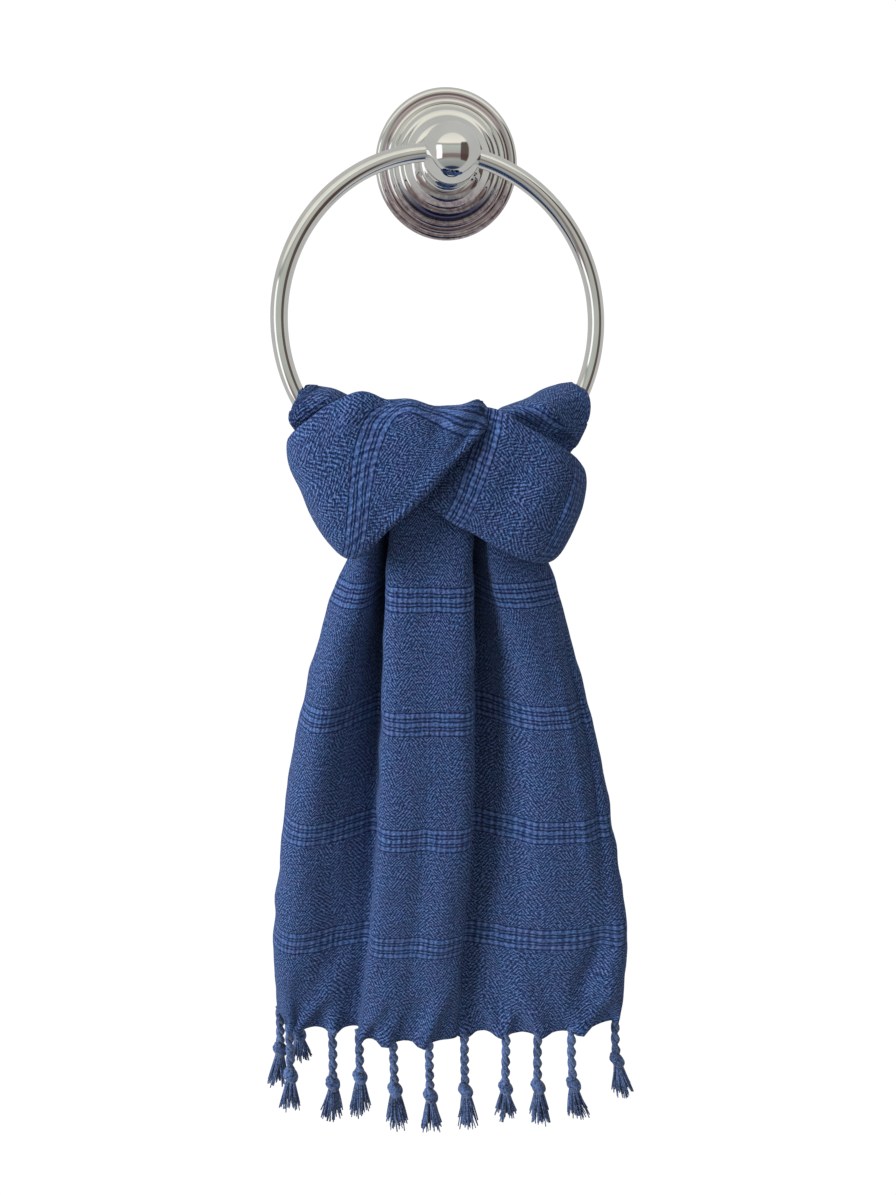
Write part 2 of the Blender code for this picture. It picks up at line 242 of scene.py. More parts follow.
def run_lengths(sheet, axis):
    """Distance along the cloth from its start, averaged over the other way of the weave."""
    step = np.linalg.norm(np.diff(sheet, axis=axis), axis=2)
    mean = step.mean(axis=1 - axis)
    return np.concatenate([[0.0], np.cumsum(mean)])


def soft_step(value, low, high):
    t = np.clip((value - low) / (high - low), 0.0, 1.0)
    return t * t * (3 - 2 * t)


def softly_less(a, b, ease):
    """The lesser of two runs, with the corner between them rounded off."""
    near = np.clip(0.5 + 0.5 * (b - a) / ease, 0.0, 1.0)
    return b + (a - b) * near - ease * near * (1 - near)


def finished_mesh(name, shape, smooth=False):
    """Closes a built shape into a mesh."""
    mesh = bpy.data.meshes.new(name)
    shape.to_mesh(mesh)
    shape.free()
    if smooth:
        for face in mesh.polygons:
            face.use_smooth = True
    return mesh


def grid_mesh(name, sheet, maps):
    """A grid of cloth on the laid points, with its weave and stripe maps in millimetres."""
    along, across = sheet.shape[:2]
    shape = bmesh.new()
    bmesh.ops.create_grid(shape, x_segments=across - 1, y_segments=along - 1, size=0.5)
    layers = {key: shape.loops.layers.uv.new(key) for key in maps}
    place = {}
    for vert in shape.verts:
        i = round((vert.co.x + 0.5) * (across - 1))
        j = round((vert.co.y + 0.5) * (along - 1))
        place[vert] = (j, i)
        vert.co = sheet[j, i] * MM
    for face in shape.faces:
        for loop in face.loops:
            j, i = place[loop.vert]
            for key, layer in layers.items():
                loop[layer].uv = (maps[key][0][j, i], maps[key][1][j, i])
    return finished_mesh(name, shape, smooth=True)


def off_line(x, z, line):
    """Distance in the upright plane from a line of (x, z) points, and the share run along it."""
    best = np.full(x.shape, 1e9)
    share = np.zeros(x.shape)
    count = len(line) - 1
    for k, ((ax, az), (bx, bz)) in enumerate(zip(line, line[1:])):
        dx, dz = bx - ax, bz - az
        t = np.clip(((x - ax) * dx + (z - az) * dz) / (dx * dx + dz * dz), 0.0, 1.0)
        far = np.hypot(x - ax - t * dx, z - az - t * dz)
        nearer = far < best
        best = np.where(nearer, far, best)
        share = np.where(nearer, (k + t) / count, share)
    return best, share


def press(sheet, creases, where):
    """Presses creases into the cloth: rows of (half width, depth, line). Depth below 0 lifts."""
    x, z = sheet[:, :, 0].copy(), sheet[:, :, 2].copy()
    for half, depth, line in creases:
        off, share = off_line(x, z, line)
        ends = np.sin(np.pi * np.clip(0.12 + 0.76 * share, 0.0, 1.0))
        sheet[:, :, 1] += depth * ends * np.exp(-((off / half) ** 2)) * where


def ruffle(sheet, across_mm, along_mm, depth, seed):
    """Small uneven waves, as washed cloth keeps."""
    draw = random.Random(seed)
    wave = np.zeros(sheet.shape[:2])
    for _ in range(16):
        turn = draw.uniform(0, 2 * math.pi)
        length = draw.uniform(11.0, 34.0)
        wave += math.sqrt(length / 22.0) * np.sin(
            2 * math.pi * (across_mm * math.cos(turn) + along_mm * math.sin(turn)) / length
            + draw.uniform(0, 6.28)
        )
    run_a = np.gradient(sheet, axis=0)
    run_b = np.gradient(sheet, axis=1)
    out = np.cross(run_a, run_b)
    out /= np.linalg.norm(out, axis=2, keepdims=True) + 1e-9
    sheet += out * (depth * wave / 4.0)[:, :, None]


def add_piece(name, mesh, material, body="root"):
    piece = bpy.data.objects.new(name, mesh)
    bpy.context.scene.collection.objects.link(piece)
    mesh.materials.clear()
    mesh.materials.append(material)
    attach(piece, body)
    return piece


def apply_all(piece):
    """Bakes the piece's modifiers into its mesh."""
    graph = bpy.context.evaluated_depsgraph_get()
    made = bpy.data.meshes.new_from_object(piece.evaluated_get(graph))
    piece.modifiers.clear()
    piece.data = made


def join_pieces(name, pieces):
    shape = bmesh.new()
    for piece in pieces:
        shape.from_mesh(piece.data)
    return finished_mesh(name, shape, smooth=True)


# --- materials -------------------------------------------------------------------------------
class Nodes:
    """Short calls for building a material's nodes, or a world's when its tree is given."""

    def __init__(self, name, tree=None):
        if tree is None:
            self.material = bpy.data.materials.new(name)
            self.material.use_nodes = True
            tree = self.material.node_tree
            self.shader = tree.nodes["Principled BSDF"]
        self.tree = tree

    def add(self, kind, **values):
        node = self.tree.nodes.new(kind)
        for key, value in values.items():
            setattr(node, key, value)
        return node

    def link(self, source, target):
        self.tree.links.new(source, target)

    def split(self, vector):
        node = self.add("ShaderNodeSeparateXYZ")
        self.link(vector, node.inputs[0])
        return node.outputs

    def sum(self, operation, a, b=None, c=None):
        node = self.add("ShaderNodeMath", operation=operation)
        for k, value in enumerate((a, b, c)):
            if value is None:
                continue
            if isinstance(value, (int, float)):
                node.inputs[k].default_value = value
            else:
                self.link(value, node.inputs[k])
        return node.outputs[0]

    def times(self, a, b):
        return self.sum("MULTIPLY", a, b)

    def plus(self, a, b):
        return self.sum("ADD", a, b)

    def wander(self, vector, scale, reach, detail=2.0, rough=0.5):
        """A noise centred on zero that strays up to half of `reach` either way."""
        off_centre = self.sum("SUBTRACT", self.noise(vector, scale, detail, rough), 0.5)
        return self.times(off_centre, reach)

    def wave(self, value, period, kind="SINE"):
        return self.sum(kind, self.times(value, 2 * math.pi / period))

    def near(self, value, centre, full, none, strength=1.0):
        """`strength` where a value is close to a centre, fading to nothing."""
        off = self.sum("ABSOLUTE", self.sum("SUBTRACT", value, centre))
        return self.smooth(off, full, none, strength, 0.0)

    def raise_by(self, height, strength, distance):
        bump = self.add("ShaderNodeBump")
        bump.inputs["Strength"].default_value = strength
        bump.inputs["Distance"].default_value = distance
        self.link(height, bump.inputs["Height"])
        self.link(bump.outputs[0], self.shader.inputs["Normal"])

    def mix(self, share, a, b, blend="MIX"):
        node = self.add("ShaderNodeMix", data_type="RGBA", blend_type=blend)
        if isinstance(share, (int, float)):
            node.inputs["Factor"].default_value = share
        else:
            self.link(share, node.inputs["Factor"])
        for key, value in ((6, a), (7, b)):
            if isinstance(value, tuple):
                node.inputs[key].default_value = (*value, 1.0)
            else:
                self.link(value, node.inputs[key])
        return node.outputs[2]

    def smooth(self, value, low, high, from_value=0.0, to_value=1.0):
        node = self.add("ShaderNodeMapRange", interpolation_type="SMOOTHSTEP")
        self.link(value, node.inputs[0])
        node.inputs[1].default_value = low
        node.inputs[2].default_value = high
        node.inputs[3].default_value = from_value
        node.inputs[4].default_value = to_value
        return node.outputs[0]

    def noise(self, vector, scale, detail=2.0, rough=0.5):
        node = self.add("ShaderNodeTexNoise")
        self.link(vector, node.inputs["Vector"])
        node.inputs["Scale"].default_value = scale
        node.inputs["Detail"].default_value = detail
        node.inputs["Roughness"].default_value = rough
        return node.outputs["Fac"]


YARN_DARK = (0.0050, 0.0105, 0.042)
YARN_MID = (0.027, 0.053, 0.158)
YARN_LIGHT = (0.100, 0.170, 0.375)
DYE_RED = (1.05, 0.97, 1.0)
DYE_GREEN = (0.90, 1.04, 1.04)
# weave sizes, millimetres
RIB_PERIOD = 2.4
RIB_SLOPE = 1.75
RIB_TURNS_EVERY = 6.2
WARP_PERIOD = 1.35
WEFT_PERIOD = 1.5
GROUP_HALF = 7.0
TICK_PERIOD = 2.3
PULL_PERIOD = 5.3


def herringbone(n, uv, speck):
    """Twill ribs that turn over every few yarns, each rib a row of short floats."""
    u, v, _ = n.split(uv)
    drift = n.wander(uv, 0.05, 8.0, 1.0)
    sway = n.wander(uv, 0.3, 0.8, 1.0)
    swayed_v = n.plus(v, sway)
    turn = n.sum("PINGPONG", n.plus(u, drift), RIB_TURNS_EVERY)
    rib = n.wave(n.plus(swayed_v, n.times(turn, RIB_SLOPE)), RIB_PERIOD)
    warp = n.wave(n.plus(u, sway), WARP_PERIOD)
    weft = n.wave(swayed_v, WEFT_PERIOD)
    floats = n.times(rib, n.sum("MULTIPLY_ADD", warp, 0.45, 0.62))
    height = n.plus(n.times(floats, 0.52), n.times(n.times(warp, weft), 0.30))
    height = n.plus(height, n.times(speck, 3.3))
    return n.smooth(height, -0.80, 0.95)


def corded_stripes(n, uv, run, speck):
    """Groups of three corded ribs with pairs of thin dark lines, and where they lie."""
    u = n.split(uv)[0]
    from_first = n.plus(n.sum("SUBTRACT", run, STRIPE_FIRST), n.wander(uv, 0.22, 1.5))
    beat = n.sum("WRAP", from_first, STRIPE_STEP / 2, -STRIPE_STEP / 2)
    inside = n.near(beat, 0.0, GROUP_HALF, GROUP_HALF + 0.5)
    cord = n.wave(beat, CORD_STEP, "COSINE")
    pair = n.wave(beat, CORD_STEP / 2, "COSINE")
    ribs = n.smooth(n.plus(cord, n.times(pair, 0.7)), -1.0, -0.2, 0.08, 0.66)
    # yarns crossing the cords: small even ticks, and now and then a pulled one
    stray = n.times(n.noise(uv, 0.5, 2.0), 5.0)
    tick = n.sum("SINE", n.plus(n.times(u, 2 * math.pi / TICK_PERIOD), stray))
    pull = n.sum("SINE", n.plus(n.times(u, 2 * math.pi / PULL_PERIOD), stray))
    ribs = n.plus(ribs, n.times(tick, 0.13))
    ribs = n.sum("SUBTRACT", ribs, n.times(n.smooth(pull, 0.70, 1.0), 0.16))
    return n.plus(ribs, n.times(speck, 1.4)), inside


def cloth_material():
    """Two-tone broken herringbone with groups of corded stripes across it."""
    n = Nodes("cloth_weave")
    uv = n.add("ShaderNodeUVMap", uv_map="weave").outputs[0]
    run = n.split(n.add("ShaderNodeUVMap", uv_map="stripes").outputs[0])[1]
    speck = n.wander(uv, 0.95, 1.0, 2.0, 0.65)
    weave = herringbone(n, uv, speck)
    ribs, inside = corded_stripes(n, uv, run, speck)
    outside = n.sum("SUBTRACT", 1.0, inside)
    shade = n.plus(n.times(ribs, inside), n.times(weave, outside))
    dark_to_mid = n.mix(n.smooth(shade, 0.0, 0.55), YARN_DARK, YARN_MID)
    colour = n.mix(n.smooth(shade, 0.42, 1.0), dark_to_mid, YARN_LIGHT)
    # uneven dye: some patches greener, some redder
    patch = n.smooth(n.noise(uv, 0.10, 3.0, 0.6), 0.35, 0.65)
    colour = n.mix(1.0, colour, n.mix(patch, DYE_RED, DYE_GREEN), "MULTIPLY")
    n.link(colour, n.shader.inputs["Base Color"])
    n.raise_by(shade, 0.8, 0.0007)
    n.shader.inputs["Roughness"].default_value = 0.95
    n.shader.inputs["Specular IOR Level"].default_value = 0.2
    n.shader.inputs["Sheen Weight"].default_value = 0.10
    n.shader.inputs["Sheen Roughness"].default_value = 0.5
    n.shader.inputs["Sheen Tint"].default_value = (0.45, 0.62, 1.0, 1.0)
    return n.material


def cord_material():
    n = Nodes("cord_yarn")
    place = n.add("ShaderNodeTexCoord").outputs["Object"]
    speck = n.noise(place, 900.0, 3.0, 0.6)
    broad = n.noise(place, 120.0, 2.0)
    shade = n.plus(n.times(speck, 0.7), n.times(broad, 0.3))
    colour = n.mix(n.smooth(shade, 0.32, 0.68), YARN_DARK, YARN_LIGHT)
    n.link(colour, n.shader.inputs["Base Color"])
    n.raise_by(speck, 0.5, 0.0004)
    n.shader.inputs["Roughness"].default_value = 0.9
    n.shader.inputs["Specular IOR Level"].default_value = 0.25
    n.shader.inputs["Sheen Weight"].default_value = 0.2
    return n.material


def rosette_painted_reflections(n, place, smear, colour):
    """Painted reflections on the stepped plate, coloured into the metal by place: a mauve lower
    half, a navy band and a mauve rim.
    """
    across, _, up = n.split(place)
    low = n.smooth(n.plus(up, n.times(smear, 0.006)), -0.018, -0.002, 1.0, 0.0)
    streak = n.smooth(n.noise(place, 420.0, 2.0, 0.7), 0.35, 0.65)
    painted_mauve = n.mix(streak, (0.34, 0.25, 0.28), (0.60, 0.52, 0.54))
    out = n.sum("SQRT", n.plus(n.times(across, across), n.times(up, up)))
    painted_mauve = n.mix(n.near(out, 0.0248, 0.0008, 0.0022), painted_mauve, (0.09, 0.09, 0.17))
    colour = n.mix(low, colour, painted_mauve)
    return n.mix(n.near(out, 0.0305, 0.0010, 0.0020, 0.75), colour, (0.52, 0.42, 0.45))


def chrome_material(name, tone=None):
    n = Nodes(name)
    place = n.add("ShaderNodeTexCoord").outputs["Object"]
    smear = n.noise(place, 60.0, 4.0, 0.6)
    n.link(n.smooth(smear, 0.3, 0.8, 0.03, 0.09), n.shader.inputs["Roughness"])
    colour = n.mix(n.smooth(smear, 0.35, 0.75), (0.84, 0.83, 0.82), (0.92, 0.91, 0.90))
    # an optional painted reflection: colours that stand in for reflections, laid into the metal
    # by place
    if tone is not None:
        colour = tone(n, place, smear, colour)
    n.link(colour, n.shader.inputs["Base Color"])
    n.shader.inputs["Metallic"].default_value = 1.0
    return n.material


# --- metal pieces ----------------------------------------------------------------------------
def turned(name, profile, sides=160):
    """A form turned about the Y axis from (radius, reach) rows."""
    shape = bmesh.new()
    verts = [shape.verts.new((r * MM, -reach * MM, 0.0)) for r, reach in profile]
    edges = [shape.edges.new(pair) for pair in zip(verts, verts[1:])]
    bmesh.ops.spin(
        shape,
        geom=verts + edges,
        cent=(0, 0, 0),
        axis=(0, 1, 0),
        angle=2 * math.pi,
        steps=sides,
        use_merge=True,
    )
    bmesh.ops.remove_doubles(shape, verts=shape.verts, dist=1e-6)
    bmesh.ops.holes_fill(shape, edges=shape.edges, sides=0)
    bmesh.ops.recalc_face_normals(shape, faces=shape.faces)
    mesh = finished_mesh(name, shape)
    for face in mesh.polygons:
        face.use_smooth = len(face.vertices) < 5  # the flat back stays flat
    return mesh


def ring_frame():
    side = np.array((math.cos(RING_SWING), 0.0, math.sin(RING_SWING)))
    down = np.array((math.sin(RING_SWING), 0.0, -math.cos(RING_SWING)))
    down = down * math.cos(RING_LEAN) + np.array((0.0, 1.0, 0.0)) * math.sin(RING_LEAN)
    side = side * math.cos(RING_TURN) + np.cross(down, side) * math.sin(RING_TURN)
    centre = np.array((0.0, -BALL_REACH, 0.0)) + RING_RADIUS * down
    return centre, side, down


def ring_mesh():
    """Round bar spun into a ring, then set at its lean and turn."""
    shape = bmesh.new()
    bar = bmesh.ops.create_circle(shape, cap_ends=False, radius=RING_TUBE * MM, segments=32)
    upright = Matrix.Rotation(math.pi / 2, 3, "X")
    bmesh.ops.rotate(shape, verts=bar["verts"], cent=(0, 0, 0), matrix=upright)
    bmesh.ops.translate(shape, verts=bar["verts"], vec=(RING_RADIUS * MM, 0, 0))
    geom = list(shape.verts) + list(shape.edges)
    bmesh.ops.spin(
        shape,
        geom=geom,
        cent=(0, 0, 0),
        axis=(0, 0, 1),
        angle=2 * math.pi,
        steps=240,
        use_merge=True,
    )
    bmesh.ops.remove_doubles(shape, verts=shape.verts, dist=1e-6)
    centre, side, down = ring_frame()
    face = np.cross(side, down)
    turn = Matrix((side, down, face)).transposed()
    bmesh.ops.transform(shape, matrix=turn.to_4x4(), verts=shape.verts)
    bmesh.ops.translate(shape, verts=shape.verts, vec=Vector(centre * MM))
    bmesh.ops.recalc_face_normals(shape, faces=shape.faces)
    return finished_mesh("ring_bar", shape, smooth=True)


def smooth_profile(rows, per_step=3):
    return [tuple(row) for row in eased(rows, (len(rows) - 1) * per_step + 1)]


def metal():
    chrome = chrome_material("polished_chrome")
    # the rosette's mauve and navy tones are painted reflections, coloured into its chrome
    rosette = add_piece(
        "rosette_plate",
        turned("rosette_plate", [ROSETTE_PROFILE[0]] + smooth_profile(ROSETTE_PROFILE[1:])),
        chrome_material("rosette_chrome", rosette_painted_reflections),
    )
    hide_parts("rosette")
    profile = smooth_profile(POST_PROFILE)
    start = math.asin(POST_PROFILE[-1][0] / BALL_RADIUS)
    for angle in np.linspace(start, math.pi, 41)[1:]:
        out = max(BALL_RADIUS * math.sin(angle), 0.0)
        profile.append((out, BALL_REACH - BALL_RADIUS * math.cos(angle)))
    post = add_piece("post_and_ball", turned("post_and_ball", profile), chrome)
    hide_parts("ball_post")
    ring = add_piece("ring_bar", ring_mesh(), chrome)
    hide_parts("ring")


# --- cloth -----------------------------------------------------------------------------------
# creases in rows of half width, depth, line of (x, z); a depth below 0 is a ridge
TAIL_CREASES = (
    (
        2.0,
        2.6,
        ((52, -208), (57, -238), (62, -256), (67, -277), (72, -301), (78, -340), (81, -372)),
    ),
    (3.0, -1.6, ((47, -215), (52, -240), (58, -268), (64, -300), (70, -340), (74, -368))),
    (6.0, 4.0, ((82, -392), (76, -410), (70, -428), (66, -450))),
    (6.0, -3.0, ((91, -380), (90, -405), (86, -430))),
    (9.0, 2.0, ((-62, -300), (-68, -340), (-66, -400), (-74, -450))),
    (8.0, -2.0, ((-43, -195), (-58, -224), (-68, -269), (-72, -316))),
    (8.0, -1.8, ((33, -196), (40, -226), (50, -272), (53, -319))),
    (7.0, 1.8, ((31, -310), (36, -350), (40, -400))),
    (5.0, 1.6, ((-14, -300), (-18, -360), (-24, -430))),
    (6.0, -1.5, ((-2, -330), (-6, -380), (-10, -430))),
)
# the saddle's cloth over the ring, behind both lobes
SADDLE_CREASES = (
    (4.5, 6.0, ((-46, -106), (-56, -113), (-64, -119), (-72, -125))),
    (5.0, 8.0, ((20, -114), (32, -121), (48, -131))),
    (3.0, 4.0, ((27, -109), (40, -119), (52, -130))),
    (3.4, -5.0, ((34, -105), (46, -115), (58, -128))),
)
# creases of the left lobe, which lies on top
LOBE_A_CREASES = (
    (3.2, -2.4, ((-44, -104), (-47, -112), (-52, -122))),
    (3.4, 2.2, ((-32, -104), (-35, -112), (-40, -120))),
    (4.0, -2.0, ((-21, -104), (-20, -112), (-14, -118))),
    (4.0, 2.0, ((-7, -108), (-6, -116), (-9, -124))),
    (3.4, -2.6, ((8, -105), (0, -113), (-8, -124))),
    (2.0, 2.6, ((14, -110), (7, -117), (0, -125), (-6, -131))),
    (3.6, -2.6, ((13, -113), (0, -127), (-18, -148), (-36, -167))),
    (5.0, 1.6, ((-72, -132), (-60, -139), (-46, -144))),
    (3.0, 1.2, ((-42, -149), (-30, -151), (-18, -149))),
    (4.5, -1.2, ((-66, -142), (-54, -150), (-40, -156))),
)
LOBE_B_CREASES = (
    (3.2, 4.0, ((17, -112), (10, -122), (0, -134), (-12, -148))),
    (3.0, -2.0, ((20, -112), (36, -121), (52, -131))),
    (2.0, 1.5, ((52, -138), (47, -152), (42, -168))),
    (2.0, -1.4, ((56, -140), (51, -154), (46, -172))),
    (4.5, 1.4, ((30, -122), (26, -140), (16, -158))),
    (5.0, -1.2, ((44, -132), (36, -150), (26, -168))),
)
# centre x, half width, lift: rises and dips of the left lobe's upper edge
TOP_EDGE_WAVES = (
    (-42, 6.0, 1.6),
    (-32, 4.0, -1.4),
    (-21, 6.0, 1.8),
    (-10, 5.0, -1.2),
    (9, 5.0, 2.4),
)
LEFT_TOP = 14.65  # station where the left lobe's stripe group meets its top edge


def hem_points(sheet):
    """The hem point nearest to each tassel, as an index into the first row."""
    row = sheet[0]
    return [int(np.argmin(np.hypot(row[:, 0] - t[0], row[:, 1] - t[1]))) for t in TASSELS]


def hanging_cloth():
    rows = np.concatenate(
        [np.linspace(0, 9, 121)[:-1], np.linspace(9, 15, 56)[:-1], np.linspace(15, 21, 31)]
    )
    sheet = laid_rows([section_points(row) for row in SECTIONS], CLOTH_ACROSS, rows)
    down = run_lengths(sheet, 0)
    over = run_lengths(sheet, 1)
    across_mm = np.tile(over, (len(rows), 1))
    along_mm = np.tile(down[:, None], (1, CLOTH_ACROSS))
    row = rows[:, None]
    x = sheet[:, :, 0]
    # the saddle sinks behind the left lobe, with a notch at its right end
    top = np.exp(-(((row - 13.3) / 1.9) ** 2))
    sink = 8.0 * soft_step(x, -57, -36) * (1 - soft_step(x, 21, 54))
    notch = 3.0 * np.exp(-(((x - 18) / 5.0) ** 2))
    sheet[:, :, 2] -= top * (sink + notch)
    # the hem is drawn up between tassels, and the cloth gathers a little above each
    marks = np.array(sorted(over[i] for i in hem_points(sheet)))
    gap = np.abs(over[:, None] - marks[None, :])
    nearest = gap.min(axis=1)
    arch = 0.5 - 0.5 * np.cos(np.pi * np.clip(nearest / 9.0, 0.0, 1.0))
    fall = np.exp(-((down / 13.0) ** 2))
    sheet[:, :, 2] += 1.9 * arch[None, :] * fall[:, None]
    draw = random.Random(11)
    for mark in marks:
        # folds fan upward from where each tassel draws the hem in
        for _ in range(2):
            lean = draw.uniform(-0.35, 0.35)
            reach = draw.uniform(16.0, 34.0)
            lift = draw.uniform(2.4, 4.2)
            centre = mark + draw.uniform(-2.5, 2.5) + lean * down[:, None]
            wide = 1.9 + 0.10 * down[:, None]
            ridge = np.exp(-(((over[None, :] - centre) / wide) ** 2))
            sheet[:, :, 1] -= lift * ridge * np.exp(-((down[:, None] / reach) ** 2))
    front = np.broadcast_to((row < 9.0).astype(float), sheet.shape[:2])
    press(sheet, TAIL_CREASES, front)
    saddle = soft_step(row, 9.0, 9.6) * (1 - soft_step(row, 13.0, 14.0))
    press(sheet, SADDLE_CREASES, np.broadcast_to(saddle, sheet.shape[:2]))
    ruffle(sheet, across_mm, along_mm, 0.32, 3)
    # the stripe group on the right of the saddle runs aslant
    over_ring = soft_step(row, 9.5, 11.0) * (1 - soft_step(row, 13.0, 14.5))
    slant = over_ring * np.clip(x + 6.0, 0.0, 70.0) * 0.9
    maps = {"weave": (across_mm, along_mm), "stripes": (across_mm, along_mm + slant)}
    return sheet, maps


def tied_band():
    sheet = laid_rows([station_points(row) for row in BAND], BAND_ACROSS, BAND_ALONG)
    down = run_lengths(sheet, 0)
    over = run_lengths(sheet, 1)
    across_mm = np.tile(over, (BAND_ALONG, 1))
    along_mm = np.tile(down[:, None], (1, BAND_ACROSS))
    station = np.linspace(0, len(BAND) - 1, BAND_ALONG)
    width = np.linalg.norm(np.diff(sheet, axis=1), axis=2).sum(axis=1)
    share = np.linspace(0, 1, BAND_ACROSS)[None, :]
    # right lobe: one group up its middle, one near its far end
    right = np.interp(station, (0.0, 1.95, 4.3, 9.0), (10.0, 59.0, 125.0, 260.0))[:, None]
    # left lobe: one group aslant, bending along the top edge
    start = np.interp(LEFT_TOP, station, down)
    aslant = down[:, None] - start + 94.0 * (share - 0.12)
    from_top = share * width[:, None] - 13.0
    left = 389.0 + np.clip(softly_less(aslant, from_top, 6.0), -32.0, 32.0)
    turn = soft_step(station, 8.0, 10.5)[:, None]
    stripes = right * (1 - turn) + left * turn
    press(sheet, LOBE_B_CREASES, np.broadcast_to((station < 6.0)[:, None], sheet.shape[:2]))
    press(sheet, LOBE_A_CREASES, np.broadcast_to((station > 11.5)[:, None], sheet.shape[:2]))
    for centre, wide, lift in TOP_EDGE_WAVES:
        wave = lift * np.exp(-(((sheet[:, :, 0] - centre) / wide) ** 2))
        sheet[:, :, 2] += wave * (1 - share) ** 2 * (station > 11.5)[:, None]
    ruffle(sheet, across_mm, along_mm, 0.35, 5)
    maps = {"weave": (across_mm, along_mm), "stripes": (across_mm, stripes)}
    return sheet, maps


def towel(hanging, tied, cloth):
    """Thickens the hanging cloth and the tied band and joins them as one towel."""
    parts = []
    for name, made in (("hanging", hanging), ("tied", tied)):
        mesh = grid_mesh(name, *made)
        part = bpy.data.objects.new(name, mesh)
        bpy.context.scene.collection.objects.link(part)
        thick = part.modifiers.new("thickness", "SOLIDIFY")
        thick.thickness = CLOTH * MM
        thick.offset = 0.0
        apply_all(part)
        parts.append(part)
    mesh = join_pieces("towel_cloth", parts)
    for part in parts:
        bpy.data.objects.remove(part, do_unlink=True)
    piece = add_piece("towel_cloth", mesh, cloth)
    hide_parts("towel")
    return piece


# --- fringe ----------------------------------------------------------------------------------
def strand_curve(points, radius, taper=None):
    curve = bpy.data.curves.new("strand", "CURVE")
    curve.dimensions = "3D"
    curve.bevel_depth = radius * MM
    curve.bevel_resolution = 2
    curve.use_fill_caps = True
    line = curve.splines.new("POLY")
    line.points.add(len(points) - 1)
    for k, point in enumerate(points):
        line.points[k].co = (*(np.asarray(point) * MM), 1.0)
        line.points[k].radius = 1.0 if taper is None else taper[k]
    return curve


def curve_mesh(curve):
    thing = bpy.data.objects.new("strand", curve)
    bpy.context.scene.collection.objects.link(thing)
    graph = bpy.context.evaluated_depsgraph_get()
    mesh = bpy.data.meshes.new_from_object(thing.evaluated_get(graph))
    bpy.data.objects.remove(thing, do_unlink=True)
    return mesh


def tassel_meshes(top, lean, to_knot, whole, draw):
    """Two plies twisted to the knot, the knot itself and the loose yarns under it."""
    made = []

    def middle(down):
        share = down / whole
        return top + np.array((lean * share * share, 0.0, -down))

    pitch = draw.uniform(12.5, 15.5)
    start = draw.uniform(0, 6.28)
    for ply in (0.0, math.pi):
        points = []
        for k in range(45):
            down = -3.0 + (to_knot + 2.0) * k / 44
            angle = start + ply + 2 * math.pi * down / pitch
            points.append(middle(down) + 1.12 * np.array((math.cos(angle), math.sin(angle), 0.0)))
        made.append(curve_mesh(strand_curve(points, 1.5)))
    # the overhand knot: both plies wound about one and a half times
    for ply in (0.0, math.pi):
        points = []
        for k in range(36):
            t = k / 35
            angle = start + ply + 2 * math.pi * 1.4 * t
            lift = (t - 0.5) * 5.0
            out = 2.6 * math.sin(math.pi * (0.10 + 0.80 * t))
            tilt = 1.4 * math.cos(angle)
            spoke = np.array((math.cos(angle), math.sin(angle), 0.0))
            points.append(middle(to_knot - lift + tilt) + out * spoke)
        made.append(curve_mesh(strand_curve(points, 1.85)))
    # loose yarns of the tuft
    for k in range(64):
        angle = draw.uniform(0, 2 * math.pi)
        spread = draw.uniform(0.0, 1.0) ** 0.5
        reach = (whole - to_knot) * draw.uniform(0.70, 1.0)
        bend = draw.uniform(-1.0, 1.0)
        sag = draw.uniform(0.7, 1.5)
        points, taper = [], []
        for j in range(7):
            t = j / 6
            wide = (1.3 + 4.9 * t**sag) * spread + 0.2
            swirl = angle + 0.6 * bend * t
            points.append(
                middle(to_knot + 0.5 + reach * t)
                + wide * np.array((math.cos(swirl), 0.8 * math.sin(swirl), 0.0))
            )
            taper.append(1.0 - 0.4 * t)
        curve = strand_curve(points, 0.62, taper)
        curve.bevel_resolution = 0
        made.append(curve_mesh(curve))
    return made


def fringe(sheet, cord):
    draw = random.Random(7)
    meshes = []
    for index, row in zip(hem_points(sheet), TASSELS):
        meshes += tassel_meshes(sheet[0, index].copy(), row[2], row[3], row[4], draw)
    shape = bmesh.new()
    for mesh in meshes:
        shape.from_mesh(mesh)
        bpy.data.meshes.remove(mesh)
    bmesh.ops.recalc_face_normals(shape, faces=shape.faces)
    mesh = finished_mesh("tassel_fringe", shape, smooth=True)
    piece = add_piece("tassel_fringe", mesh, cord)
    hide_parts("fringe")
    return piece


# --- studio ----------------------------------------------------------------------------------
def stage_piece(name, shape, place, turn, colour):
    tilt = Matrix.Rotation(turn, 3, "X")
    bmesh.ops.rotate(shape, verts=shape.verts, cent=(0, 0, 0), matrix=tilt)
    bmesh.ops.translate(shape, verts=shape.verts, vec=place)
    mesh = finished_mesh(name, shape)
    n = Nodes(name)
    n.shader.inputs["Base Color"].default_value = (*colour, 1.0)
    n.shader.inputs["Roughness"].default_value = 0.9
    mesh.materials.append(n.material)
    thing = bpy.data.objects.new(name, mesh)
    bpy.context.scene.collection.objects.link(thing)
    thing.visible_glossy = False  # the room, not the stage, shows in the polished metal
    return thing


def area_light(name, place, aim, size, power):
    light = bpy.data.lights.new(name, "AREA")
    light.shape = "RECTANGLE"
    light.size, light.size_y = size
    light.energy = power
    thing = bpy.data.objects.new(name, light)
    thing.visible_glossy = False  # the room gives the polished metal its reflections
    thing.location = place
    thing.rotation_euler = (Vector(aim) - Vector(place)).to_track_quat("-Z", "Y").to_euler()
    bpy.context.scene.collection.objects.link(thing)


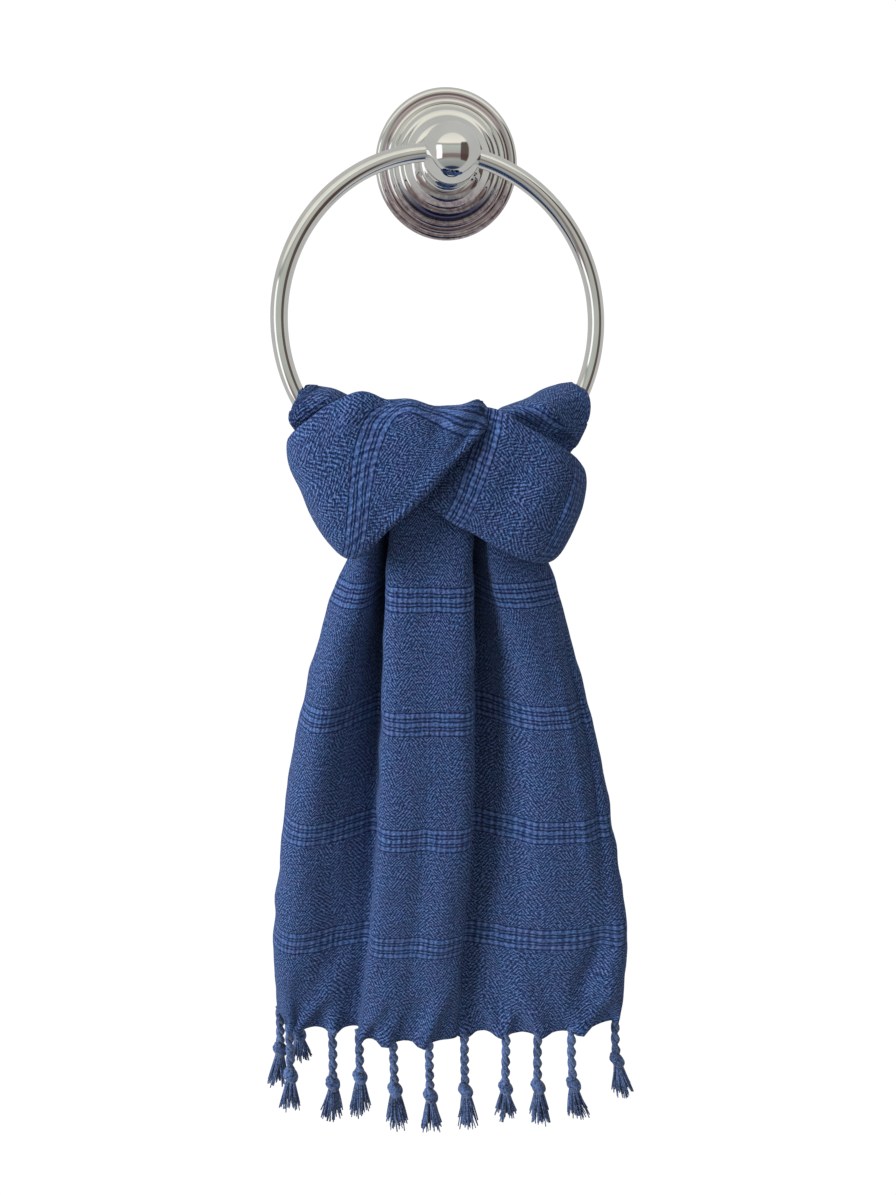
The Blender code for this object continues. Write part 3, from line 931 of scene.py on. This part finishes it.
def room_light():
    """Soft room light: cream above, pale walls, a brown line below, a door and a window."""
    world = bpy.data.worlds.new("room")
    bpy.context.scene.world = world
    world.use_nodes = True
    n = Nodes("room", world.node_tree)
    x, y, z = n.split(n.add("ShaderNodeTexCoord").outputs["Generated"])
    height = n.sum("MULTIPLY_ADD", z, 0.5, 0.5)
    ramp = n.add("ShaderNodeValToRGB")
    n.link(height, ramp.inputs[0])
    tones = (
        (0.00, (0.03, 0.045, 0.10)),
        (0.085, (0.04, 0.06, 0.13)),
        (0.11, (0.42, 0.45, 0.43)),
        (0.26, (0.55, 0.58, 0.55)),
        (0.34, (0.30, 0.24, 0.23)),
        (0.42, (0.40, 0.30, 0.28)),
        (0.46, (0.62, 0.65, 0.60)),
        (0.66, (0.72, 0.78, 0.70)),
        (0.71, (0.48, 0.50, 0.47)),
        (0.75, (1.30, 1.27, 1.14)),
        (1.00, (1.05, 1.04, 0.92)),
    )
    while len(ramp.color_ramp.elements) < len(tones):
        ramp.color_ramp.elements.new(0.5)
    for element, (place, tone) in zip(ramp.color_ramp.elements, tones):
        element.position = place
        element.color = (*tone, 1.0)
    # the coloured side of the room faces the front; the rest is plain and pale
    front = n.smooth(y, -0.42, -0.30, 1.0, 0.0)
    room = n.mix(front, (0.74, 0.75, 0.73), ramp.outputs[0])
    # a door on one side, a bright window on the other
    door = n.times(n.near(x, 0.73, 0.17, 0.23), n.near(z, 0.02, 0.46, 0.54))
    colour = n.mix(n.times(n.times(door, front), 0.9), room, (0.11, 0.065, 0.055))
    window = n.times(n.near(x, -0.77, 0.11, 0.15), n.near(z, 0.0, 0.36, 0.40))
    colour = n.mix(n.times(window, front), colour, (1.7, 1.72, 1.75))
    back = n.tree.nodes["Background"]
    n.link(colour, back.inputs[0])
    back.inputs[1].default_value = 0.68


def studio():
    room_light()
    shape = bmesh.new()
    bmesh.ops.create_circle(shape, cap_ends=True, radius=2.0, segments=96)
    stage_piece("floor", shape, (0, 0, -2.05), 0.0, (0.8, 0.8, 0.8))
    shape = bmesh.new()
    bmesh.ops.create_grid(shape, x_segments=1, y_segments=1, size=1.3)
    sweep = stage_piece("white_sweep", shape, (0.05, 1.2, -0.78), math.pi / 2, (0, 0, 0))
    shader = sweep.data.materials[0].node_tree.nodes["Principled BSDF"]
    shader.inputs["Specular IOR Level"].default_value = 0.0
    shader.inputs["Emission Color"].default_value = (1, 1, 1, 1)
    shader.inputs["Emission Strength"].default_value = 1.03
    area_light("window", (-1.35, -0.78, 0.58), (0, -0.06, -0.25), (0.8, 0.95), 43.0)
    area_light("fill", (1.0, -1.2, 0.1), (0, -0.05, -0.25), (0.9, 1.2), 3.0)
    bpy.context.scene.view_settings.view_transform = "Standard"


def camera():
    data = bpy.data.cameras.new("view")
    data.sensor_width = 36.0
    data.lens = 1000.0 * 36.0 / 1195.0
    thing = bpy.data.objects.new("view", data)
    thing.location = (-0.0288, -0.5312, -0.0635)
    thing.rotation_euler = (math.radians(90 - 16.54), 0.0, math.radians(-3.2))
    bpy.context.scene.collection.objects.link(thing)
    bpy.context.scene.camera = thing


def main():
    camera()
    studio()
    metal()
    hanging = hanging_cloth()
    towel_piece = towel(hanging, tied_band(), cloth_material())
    fringe_piece = fringe(hanging[0], cord_material())


main()
